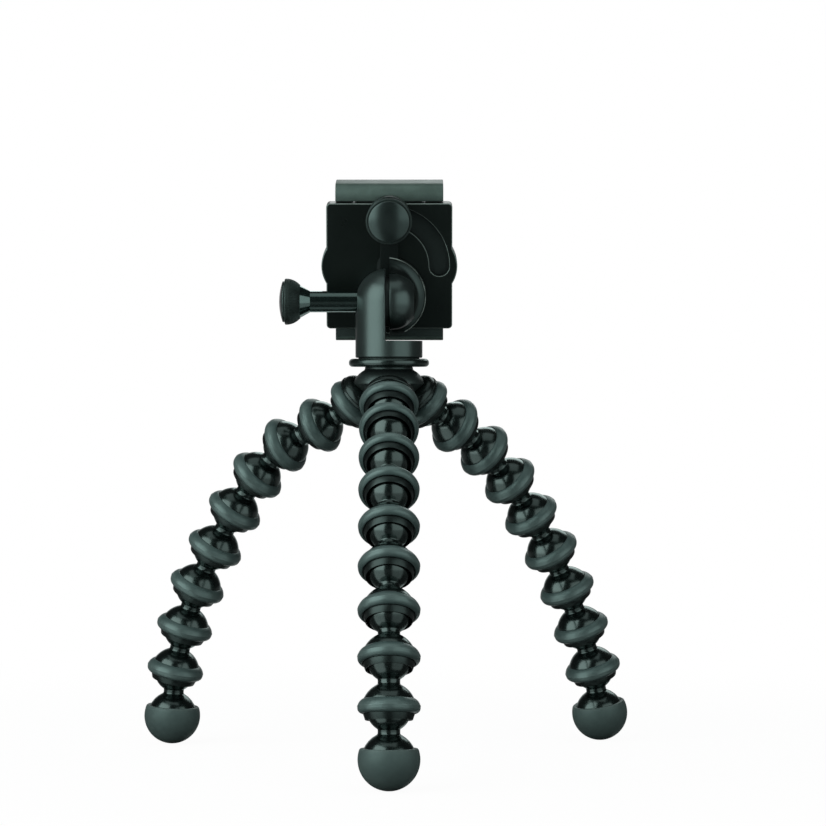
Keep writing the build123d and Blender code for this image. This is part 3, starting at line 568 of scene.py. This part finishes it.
for leg in ("front", "right", "left"):
    bodies = [f"leg_{leg}_link_{n}" for n in range(1, 9)] + [f"leg_{leg}_foot"]
    centres = [jointPlace(body + "_bend") for body in bodies]
    run = (centres[-1] - centres[0]) * Vector((1, 1, 0))
    drop = centres[-1].z - foot["capR"] * mm
    reach = math.sqrt((link["pitch"] * mm) ** 2 - drop**2)
    centres.append(centres[-1] + run.normalized() * reach - Vector((0, 0, drop)))
    for index, body in enumerate(bodies):
        way = (centres[index + 1] - centres[index]).normalized()
        place = pointing(centres[index], way)
        far = pointing(centres[index + 1], way)
        if body.endswith("foot"):
            stem = spun(stemProfile(90), link["steps"])
            finished(body + "_stem", stem, place, legPlastic, body, [body])
            cap = spun(capProfile(), foot["steps"])
            storeWearAndPaintedLight(cap, capWear)
            finished(body + "_cap", cap, far, footRubber, body, [body], sharp=50)
        else:
            moulding = spun(linkProfile(), link["steps"])
            storeWearAndPaintedLight(moulding, linkSatin)
            finished(body + "_moulding", moulding, place, legPlastic, body, [body])
            makeRing(body + "_ring", far, body, [body])
print("legs ready")

# ---- hub: its three rings stand round the first ball of each leg
hub = {"socketDip": 42, "socketTurns": {"front": -90, "right": 30, "left": 150}}
socketPlaces = {}
for leg, turn in hub["socketTurns"].items():
    dip, turn = math.radians(hub["socketDip"]), math.radians(turn)
    way = Vector((math.cos(dip) * math.cos(turn), math.cos(dip) * math.sin(turn), -math.sin(dip)))
    socketPlaces[leg] = pointing(jointPlace(f"leg_{leg}_link_1_bend"), way)
    makeRing(f"hub_ring_{leg}", socketPlaces[leg], "base", ["hub_rings"])
pod = {"backR": 5.0, "backZ": -10.9, "bodyR": 10.9, "bodyZ": -6.3, "flangeR": 11.3,
       "shoulder": -4.8, "steps": 96, "flangeLow": [(0.15, 0.05), (0, 0.2)], "flangeHigh": 0.3,
       "seatStep": 0.1, "seatRise": 0.25}
core = {"topZ": 16.9, "topEdge": 0.3, "neckR": 10.4, "neckZ": 15.9, "flare": (10.8, 15.4),
        "skirt": (15.2, 10.2), "skirtSag": -0.1,
        "below": [(15.1, 9.6), (11.4, 6.4), (9.2, 3.0), (8.5, 0.4), (7.2, -3.1)],
        "baseR": 7.2, "baseZ": -7.0, "baseRound": 1.5, "recessR": 5.4, "seatZ": 7.9,
        "boreR": 3.1, "steps": 128}


def podProfile():
    # round housing with a low flange behind the ring, in the frame of its ball, mouth upwards
    shoulder, flangeR, bodyZ = pod["shoulder"], pod["flangeR"], pod["bodyZ"]
    points = [(0, pod["backZ"])]
    for degrees in range(0, 91, 6):
        out, back = math.sin(math.radians(degrees)), math.cos(math.radians(degrees))
        points.append((pod["backR"] + (pod["bodyR"] - pod["backR"]) * out,
                       bodyZ - (bodyZ - pod["backZ"]) * back))
    points += [(flangeR - inset, bodyZ + up) for inset, up in pod["flangeLow"]]
    points += [(flangeR, shoulder - pod["flangeHigh"]), (flangeR - pod["flangeHigh"], shoulder)]
    points += [(link["seatR"] + pod["seatStep"], shoulder + pod["seatStep"])]
    return points + [(link["seatR"], shoulder + pod["seatRise"])] + mouthProfile(0)


def podSatin(co):
    # a pod's socket is at its origin, a link's one pitch above it
    return linkSatin(co + Vector((0, 0, link["pitch"])))


def coreProfile():
    # neck and skirt under the collar, waist between the pods, base with the pan bolt's recess
    topZ, neckR, edge, round_ = core["topZ"], core["neckR"], core["topEdge"], core["baseRound"]
    points = [(core["boreR"], topZ), (neckR - edge, topZ), (neckR, topZ - edge)]
    points += [(neckR, core["neckZ"])]
    points += swell(core["flare"], core["skirt"], core["skirtSag"], 8) + core["below"]
    points += arc((core["baseR"] - round_, core["baseZ"] + round_), round_, 0, -90, 6)
    points += [(core["recessR"], core["baseZ"]), (core["recessR"], core["seatZ"])]
    return points + [(core["boreR"], core["seatZ"])]


for leg, place in socketPlaces.items():
    shell = spun(podProfile(), pod["steps"])
    storeWearAndPaintedLight(shell, podSatin)
    finished(f"hub_pod_{leg}", shell, place, hubPlastic, "base", ["hub"])
hubPlace = Matrix.Translation((0, 0, jointPlace("leg_front_link_1_bend").z))
finished("hub_core", spun(coreProfile(), core["steps"], closed=True), hubPlace, coreSatin,
         "base", ["hub"])

collar = {"radius": 17.35, "height": 3.5, "round": 1.6, "bore": 3.4, "steps": 128}


def collarProfile():
    # flat ring with a rounded outer side
    radius, height, round_ = collar["radius"], collar["height"], collar["round"]
    points = [(collar["bore"], 0), (radius - round_, 0)]
    points += arc((radius - round_, round_), round_, -90, 0, 6)[1:]
    points += arc((radius - round_, height - round_), round_, 0, 90, 6)
    return points + [(collar["bore"], height)]


collarPlace = Matrix.Translation((0, 0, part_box("collar_ring")[0].z))
finished("collar", spun(collarProfile(), collar["steps"], closed=True), collarPlace, collarPlastic,
         "base", ["collar_ring"])
print("hub ready")

# ---- frame of the leaning clamp: X along the tilt axis, Z the way that the jaw slides
sideWay = Vector(joints["head_tilt"]["axis"])
leanWay = Vector(joints["jaw_slide"]["axis"])


aheadWay = leanWay.cross(sideWay)
clampTurn = Matrix((sideWay, aheadWay, leanWay)).transposed().to_4x4()
clampPlace = Matrix.Translation(jointPlace("head_tilt")) @ clampTurn

# materials of the solids, also of those that a drawn piece stands in for
nodePaints = {
    "pan_washer": washerPlastic, "spring_washer": steel, "pan_bolt": steel, "pan_insert": brass,
    "head_housing": headMetal, "tilt_washer": washerPlastic, "tilt_bolt": steel,
    "tilt_bracket": bracketMetal, "pivot_bolt": steel, "bracket_washers": washerPlastic,
    "slot_slider": washerPlastic, "tilt_knob_core": knobMetal, "tilt_knob_grip": knobRubber,
    "tilt_knob_insert": brass, "tilt_knob_cap": knobRubber, "swivel_knob_core": knobMetal,
    "swivel_knob_grip": knobRubber, "swivel_knob_cap": knobRubber, "swivel_screw": steel,
    "back_plate": platePlastic, "mid_plate": darkSteel, "front_plate": platePlastic,
    "plate_screws": steel, "front_pad": padRubber, "lower_jaw": platePlastic,
    "lower_jaw_skin": jawRubber, "jaw_springs": steel, "guide_rods": chrome,
    "upper_jaw": platePlastic, "upper_jaw_skin": jawRubber,
}
for node, paint in nodePaints.items():
    frame["nodes"][node].material_slots[0].material = paint

# ---- tilt bracket: barrel on the tilt bolt, half-round bell, arm, and boss of the upper knob
bracket = {"faceX": 0.1, "endX": 10.9, "barrelR": 12.0, "edge": 0.4, "flankR": 11.5,
           "flankX": 1.5, "flankEnd": 0.5, "endEdge": [(0.35, 0.12), (0.9, 0)],
           "recessR": 4.6, "recess": 3.0, "recessEdge": 0.2, "boltR": 2.5, "steps": 128}
bell = {"middleX": -1.5, "radius": 17.6, "rim": 3.75, "backY": 19.0, "steps": 160,
        "backEdge": 0.15,
        "rimEdge": [(0, -0.25), (0.12, -0.05), (0.35, 0), (0.6, -0.08), (0.75, -0.2)],
        "dish": [(1.6, -0.05), (2.6, 0.3), (3.5, 0.9), (4.3, 1.9), (4.9, 3.2), (5.3, 4.8),
                 (5.6, 7.0)],
        "footZ": 1.5, "footWay": (0, -0.67, 0.74), "lineInset": 0.24, "lineHalf": 0.13,
        "lineDrop": 0.1, "mostCorners": 8}
arm = {"low": 4.5, "high": 3.6, "bottom": -6, "top": 34.95, "frontY": 15.4, "backY": 19.0,
       "corner": 0.4, "edge": 0.5}
boss = {"radius": 9.4, "height": 6.5, "edge": 0.5, "bore": 2.6, "steps": 96}
alongX = Matrix(((0, 0, 1, 0), (1, 0, 0, 0), (0, 1, 0, 0), (0, 0, 0, 1)))
towardsCamera = Matrix(((1, 0, 0, 0), (0, 0, -1, 0), (0, 1, 0, 0), (0, 0, 0, 1)))


def barrelProfile():
    # a drum whose side curves in towards its outer face, like half a barrel
    r, edge, flankR, flankX = (bracket[key] for key in ("barrelR", "edge", "flankR", "flankX"))
    start, end = bracket["faceX"], bracket["endX"]
    recessR, recess, mouth = (bracket[key] for key in ("recessR", "recess", "recessEdge"))
    turn = math.degrees(math.asin((end - bracket["flankEnd"] - flankX) / flankR))
    flank = arc((r - flankR, flankX), flankR, 0, turn, 16)
    points = [(bracket["boltR"], start), (r - edge, start)]
    points += arc((r - edge, start + edge), edge, -90, 0, 3) + flank
    points += [(flank[-1][0] - inset, end - back) for inset, back in bracket["endEdge"]]
    points += [(recessR + mouth, end), (recessR, end - mouth)]
    return points + [(recessR, end - recess), (bracket["boltR"], end - recess)]


def bellProfile():
    # thin rim, then a dish that rises like a trumpet towards the barrel
    r, rim, edge = bell["radius"], bell["rim"], bell["backEdge"]
    points = [(0, 0), (r - edge, 0), (r, edge)]
    points += [(r - inset, rim + up) for inset, up in bell["rimEdge"] + bell["dish"]]
    return points + [(0, points[-1][1])]


def bellRimHighlight(co):
    # painted highlight: a pale line along the top of the rim
    inset = bell["radius"] - bell["lineInset"] - math.hypot(co.x, co.y)
    onLine = abs(inset) < bell["lineHalf"] and co.z > bell["rim"] - bell["lineDrop"]
    return 1.0 if onLine else 0.0


def sliced(bm, point, way, **cleared):
    # cuts a piece at a plane, takes one side away and closes the cut
    cut = bmesh.ops.bisect_plane(bm, geom=bm.verts[:] + bm.edges[:] + bm.faces[:],
                                 plane_co=point, plane_no=way, **cleared)
    open_ = [part for part in cut["geom_cut"] if isinstance(part, bmesh.types.BMEdge)]
    bmesh.ops.holes_fill(bm, edges=open_, sides=0)


finished("tilt_barrel", spun(barrelProfile(), bracket["steps"], closed=True),
         clampPlace @ alongX, bracketMetal, "bracket", ["tilt_bracket"])

bm = spun(bellProfile(), bell["steps"])
sliced(bm, (bracket["faceX"] - bell["middleX"], 0, 0), (1, 0, 0), clear_inner=True)
# the foot of the rim is cut slanting, so that it clears the housing when the head tilts
sliced(bm, (0, -bell["radius"], bell["footZ"]), bell["footWay"], clear_outer=True)
wide = [face for face in bm.faces if len(face.verts) > bell["mostCorners"]]
bmesh.ops.triangulate(bm, faces=wide)
bmesh.ops.recalc_face_normals(bm, faces=bm.faces)
bellMiddle = Matrix.Translation((bell["middleX"] * mm, bell["backY"] * mm, 0))
bellPlace = clampPlace @ bellMiddle @ towardsCamera
# the top line of the rim gets a painted highlight
storeWearAndPaintedLight(bm, bellRimHighlight)
finished("tilt_bell", bm, bellPlace, bellMetal, "bracket", ["tilt_bracket"])

armOutline = rounded([(-arm["low"], arm["bottom"]), (arm["low"], arm["bottom"]),
                      (arm["high"], arm["top"]), (-arm["high"], arm["top"])],
                     [arm["corner"]] * 4, 3)
bm = drawnOut(armOutline, arm["frontY"], arm["backY"], ((1, 0, 0), (0, 0, 1), (0, 1, 0)),
              arm["edge"])
# the arm takes the darker copy of the bracket's metal as painted shade
finished("tilt_arm", bm, clampPlace, armShadedMetal, "bracket", ["tilt_bracket"])


def bossProfile():
    # low round boss with a bore for the knob's stud
    r, height, edge, bore = boss["radius"], boss["height"], boss["edge"], boss["bore"]
    return [(bore, 0), (r, 0)] + arc((r - edge, height - edge), edge, 0, 90, 4) + [(bore, height)]


bossMiddle = Matrix.Translation((0, arm["backY"] * mm, arm["top"] * mm))
bossPlace = clampPlace @ bossMiddle @ towardsCamera
finished("upper_boss", spun(bossProfile(), boss["steps"], closed=True), bossPlace, bellMetal,
         "bracket", ["tilt_bracket"])
print("bracket ready")

# ---- lock knobs: drawn standing on Z with the cap on top
grip = {"waistR": 7.5, "rimR": 10.0, "width": 6.7, "wall": 1.6, "bulge": 0.10, "ribs": 84,
        "ribDepth": 0.26, "ribFade": 0.5, "smooth": 1.5, "groove": 0.3, "grooveEdge": 0.12,
        "capGap": 0.22, "rimRound": 0.6, "heel": (0.2, 0.25), "rimWear": 0.5, "flankWear": 0.15,
        "wornWidth": 0.5}
cap = {"radius": 8.9, "proud": 0.9, "round": 0.5, "dome": 1.5, "depth": 1.8, "wall": 1.6,
       "steps": 96, "edgeWear": 0.4, "wornWidth": 0.3}


def gripProfile():
    # hollow grip that widens towards its rounded rim, with a groove for the cap
    width, low, high = grip["width"], grip["waistR"], grip["rimR"]
    round_, heel, edge = grip["rimRound"], grip["heel"], grip["grooveEdge"]
    flank = swell((low, heel[1]), (high, width - round_), grip["bulge"], 12)
    rim = arc((high - round_, width - round_), round_, 0, 90, 4)[1:]
    groove = cap["radius"] + grip["capGap"]
    points = [(low - grip["wall"], 0), (low - heel[0], 0)] + flank + rim
    points += [(groove + edge, width), (groove, width - edge), (groove, width - grip["groove"])]
    return points + [(high - grip["wall"], width - grip["groove"])]


def makeGrip(name, place, body, node):
    # the ribs stand between grooves that are pressed into the flank, and fade out under the rim
    steps = grip["ribs"] * 4
    bm = spun(gripProfile(), steps, closed=True)
    for vert in bm.verts:
        r = math.hypot(vert.co.x, vert.co.y)
        step = round(math.atan2(vert.co.y, vert.co.x) / (2 * math.pi) * steps) % 4
        flankR = grip["waistR"] + (grip["rimR"] - grip["waistR"]) * vert.co.z / grip["width"]
        below = grip["width"] - grip["smooth"] - vert.co.z
        fade = min(1.0, max(0.0, below / grip["ribFade"]))
        if step in (0, 1) and r > flankR - grip["wall"] / 2:
            vert.co.x *= (r - grip["ribDepth"] * fade) / r
            vert.co.y *= (r - grip["ribDepth"] * fade) / r
    wornFrom = grip["width"] - grip["wornWidth"]
    storeWearAndPaintedLight(bm, lambda co: grip["rimWear"] if co.z > wornFrom else grip["flankWear"])
    finished(name, bm, place, knobRubber, body, [node], sharp=40)


def buttonProfile():
    # plug, groove under the proud rim, rounded edge and a shallow dome
    radius, dome, proud, round_ = cap["radius"], cap["dome"], cap["proud"], cap["round"]
    plugR = radius - cap["wall"]
    ball = (radius**2 + dome**2) / (2 * dome)
    middle = proud + dome - ball
    slope = math.degrees(math.asin((radius - round_) / (ball - round_)))
    roll = (radius - round_, middle + (ball - round_) * math.cos(math.radians(slope)))
    points = [(0, -cap["depth"]), (plugR, -cap["depth"]), (plugR, -grip["groove"])]
    points += [(radius, -grip["groove"])] + arc(roll, round_, 0, 90 - slope, 6)
    return points + arc((0, middle), ball, 90 - slope, 90, 16)[1:]


def makeCap(name, place, body, node):
    bm = spun(buttonProfile(), cap["steps"])
    wornFrom = cap["radius"] - cap["wornWidth"]
    storeWearAndPaintedLight(bm, lambda co: cap["edgeWear"] if math.hypot(co.x, co.y) > wornFrom else 0.0)
    finished(name, bm, place, capRubber, body, [node], sharp=40)


for knob in ("tilt_knob", "swivel_knob"):
    outWay = Vector(joints[knob + "_turn"]["axis"])
    start = jointPlace(knob + "_turn")
    # the core's far side is level with the rim of the grip, and the cap is seated in it
    coreNode = frame["nodes"][knob + "_core"]
    top = max((vert.co - start).dot(outWay) for vert in coreNode.data.vertices)
    faceAt = start + outWay * top
    gripAt = faceAt - outWay * grip["width"] * mm
    makeGrip(knob + "_ribbed", pointing(gripAt, outWay), knob, knob + "_grip")
    makeCap(knob + "_button", pointing(faceAt, outWay), knob, knob + "_cap")
print("head and knobs ready")

# ---- jaws: rubber skins that wrap the two jaws
jaw = {"half": 23.65, "backY": 22.1, "endY": 45.5, "lip": 3.0, "hook": 5.0, "endRound": 1.2,
       "corners": [0.3, 0.5, 1.1, 1.1, 1.6]}
upperJaw = {"faceZ": 41.25, "farZ": 48.85, "sign": -1, "roll": 5.6, "bare": 4.4, "fade": 6.0,
            "body": "upper_jaw", "node": "upper_jaw_skin"}
lowerJaw = {"faceZ": -14.55, "farZ": -20.35, "sign": 1, "roll": 2.2, "bare": 1.4, "fade": 0.8,
            "body": "clamp", "node": "lower_jaw_skin"}


def jawOutline(side):
    # height against depth, from the back of the gripping face round the lip and the far side
    face, far, sign = side["faceZ"], side["farZ"], side["sign"]
    lipY = jaw["endY"] - jaw["lip"]
    tip = face + sign * jaw["hook"]
    points = [(jaw["backY"], face), (lipY, face), (lipY, tip), (jaw["endY"], tip),
              (jaw["endY"], far), (jaw["backY"], far)]
    return rounded(points, jaw["corners"] + [side["roll"]], 6)


def jawPaintedLight(side, co):
    # painted light: paler along the far roll, over the whole back of the upper jaw and along the
    # lower one's underside
    fromFar = abs(co.z - side["farZ"])
    return max(0.0, 1.0 - max(0.0, fromFar - side["bare"]) / side["fade"])


for side in (upperJaw, lowerJaw):
    bm = drawnOut(jawOutline(side), -jaw["half"], jaw["half"],
                  ((0, 1, 0), (0, 0, 1), (1, 0, 0)), jaw["endRound"])
    # painted light along each jaw's far roll, painted shade on the rest of its back
    storeWearAndPaintedLight(bm, lambda co: jawPaintedLight(side, co))
    finished(side["node"] + "_rubber", bm, clampPlace, jawRubber, side["body"],
             [side["node"]], sharp=40)
print("jaws ready")

# ---- ribbed rubber pad that the phone's back rests on
pad = {"width": 46.0, "height": 40.0, "backY": 30.9, "thick": 0.8, "middleZ": 13.05,
       "ribs": 19, "groove": 0.35, "mouth": 0.45, "floor": 0.22, "edge": 0.3, "wear": 0.2,
       "wornDepth": 0.1}


def padOutline():
    # width against depth: flat land, then a groove between each two ribs
    half, faceY, edge = pad["width"] / 2, pad["backY"] + pad["thick"], pad["edge"]
    mouth, floor, floorY = pad["mouth"], pad["floor"], faceY - pad["groove"]
    pitch = pad["width"] / pad["ribs"]
    points = [(half, pad["backY"]), (half, faceY - edge), (half - edge, faceY)]
    for i in range(1, pad["ribs"]):
        x = half - pitch * i
        points += [(x + mouth, faceY), (x + floor, floorY), (x - floor, floorY),
                   (x - mouth, faceY)]
    return points + [(-half + edge, faceY), (-half, faceY - edge), (-half, pad["backY"])]


padLow = pad["middleZ"] - pad["height"] / 2
bm = drawnOut(padOutline(), padLow, padLow + pad["height"], ((1, 0, 0), (0, 1, 0), (0, 0, 1)))
wornFrom = pad["backY"] + pad["thick"] - pad["wornDepth"]
storeWearAndPaintedLight(bm, lambda co: pad["wear"] if co.y > wornFrom else 0.0)
finished("phone_pad", bm, clampPlace, padRubber, "clamp", ["front_pad"], sharp=25)
print("pad ready")

# ---- floor, world and lights
studio = {"floorSize": 12.0, "floorColor": (0.9, 0.9, 0.9), "bounceColor": (0.07, 0.07, 0.07),
          "openLight": 0.22, "mirrorLight": 0.03, "nearR": 0.16, "farR": 0.5,
          "nearWhite": 0.96, "polish": 0.45, "polishRough": 0.12, "mirrorWhite": 0.1,
          "backWall": (0.8, 0.99), "backWallLight": 0.5, "lampColor": (0.93, 1.0, 0.985),
          "aimHeight": 0.5}
floorMesh = bmesh.new()
bmesh.ops.create_grid(floorMesh, x_segments=1, y_segments=1, size=studio["floorSize"] / 2)
mesh = bpy.data.meshes.new("floor")
floorMesh.to_mesh(mesh)
floorMesh.free()
floor = bpy.data.objects.new("floor", mesh)
bpy.context.scene.collection.objects.link(floor)

# for the camera the floor is nearly all its own white; the small lit share holds the shadow
floorPaint = Paint(bpy.data.materials.new("floor"))
cameraRay, mirrorRay = floorPaint.rays()
distance = floorPaint.node("ShaderNodeVectorMath", {"operation": "LENGTH"},
                           {0: floorPaint.place()}, output=1)
away = floorPaint.ramp(distance, studio["nearR"], studio["farR"])
seen = cameraRay * (studio["nearWhite"] + (1 - studio["nearWhite"]) * away)
seen = seen + mirrorRay * away * studio["mirrorWhite"]
color = floorPaint.mix(cameraRay, studio["bounceColor"], studio["floorColor"])
matt = floorPaint.node("ShaderNodeBsdfDiffuse", None, {"Color": color})
# for mirror rays it is polished, so that the object also mirrors the softboxes in it
polish = floorPaint.node("ShaderNodeBsdfAnisotropic", None,
                         {"Color": (1, 1, 1, 1), "Roughness": studio["polishRough"]})
matt = floorPaint.node("ShaderNodeMixShader", None,
                       {0: mirrorRay * studio["polish"], 1: matt, 2: polish})
white = floorPaint.node("ShaderNodeEmission", None, {"Color": (1, 1, 1, 1), "Strength": 1.0})
both = floorPaint.node("ShaderNodeMixShader", None, {0: seen, 1: matt, 2: white})
floorPaint.node("ShaderNodeOutputMaterial", None, {"Surface": both})
mesh.materials.append(floorPaint.owner)

# the camera sees white; mirror rays see a dim room with a paler wall behind the object
world = bpy.data.worlds.new("studio")
bpy.context.scene.world = world
worldPaint = Paint(world)
cameraRay, mirrorRay = worldPaint.rays()
facing = worldPaint.place("generated")
depth = worldPaint.node("ShaderNodeSeparateXYZ", None, {0: facing}, output=1)
behind = worldPaint.ramp(depth, *studio["backWall"])
shown = cameraRay + mirrorRay * behind * studio["backWallLight"]
seen = worldPaint.maths("MINIMUM", shown, 1.0)
dim = studio["openLight"] - mirrorRay * (studio["openLight"] - studio["mirrorLight"])
strength = worldPaint.maths("MAXIMUM", seen, dim)
backdrop = worldPaint.node("ShaderNodeBackground", None,
                           {"Color": (1, 1, 1, 1), "Strength": strength})
worldPaint.node("ShaderNodeOutputWorld", None, {"Surface": backdrop})

softboxes = [
    {"name": "leftBox", "turn": -52, "distance": 1.15, "width": 1.35, "height": 1.5,
     "middle": 0.72, "radiance": 3.1},
    {"name": "rightBox", "turn": 46, "distance": 1.15, "width": 1.3, "height": 1.1,
     "middle": 0.5, "radiance": 1.4},
    {"name": "rearBox", "turn": 165, "distance": 1.6, "width": 1.2, "height": 0.8,
     "middle": 1.1, "radiance": 1.5},
    {"name": "topBox", "turn": 0, "distance": 0.25, "width": 1.5, "height": 1.1,
     "middle": 1.5, "radiance": 0.7},
]
for box in softboxes:
    turn = math.radians(box["turn"])
    lampData = bpy.data.lights.new(box["name"], "AREA")
    lampData.shape = "RECTANGLE"
    lampData.size = box["width"]
    lampData.size_y = box["height"]
    # an area light of this many watts shows the wanted radiance
    lampData.energy = box["radiance"] * math.pi * box["width"] * box["height"]
    lampData.color = studio["lampColor"]
    lamp = bpy.data.objects.new(box["name"], lampData)
    lamp.location = (math.sin(turn) * box["distance"], -math.cos(turn) * box["distance"],
                     box["middle"])
    aim = Vector((0, 0, min(box["middle"], studio["aimHeight"]))) - lamp.location
    lamp.rotation_euler = aim.to_track_quat("-Z", "Y").to_euler()
    lamp.visible_camera = False
    bpy.context.scene.collection.objects.link(lamp)

bpy.context.scene.view_settings.view_transform = "Standard"
print("studio ready")
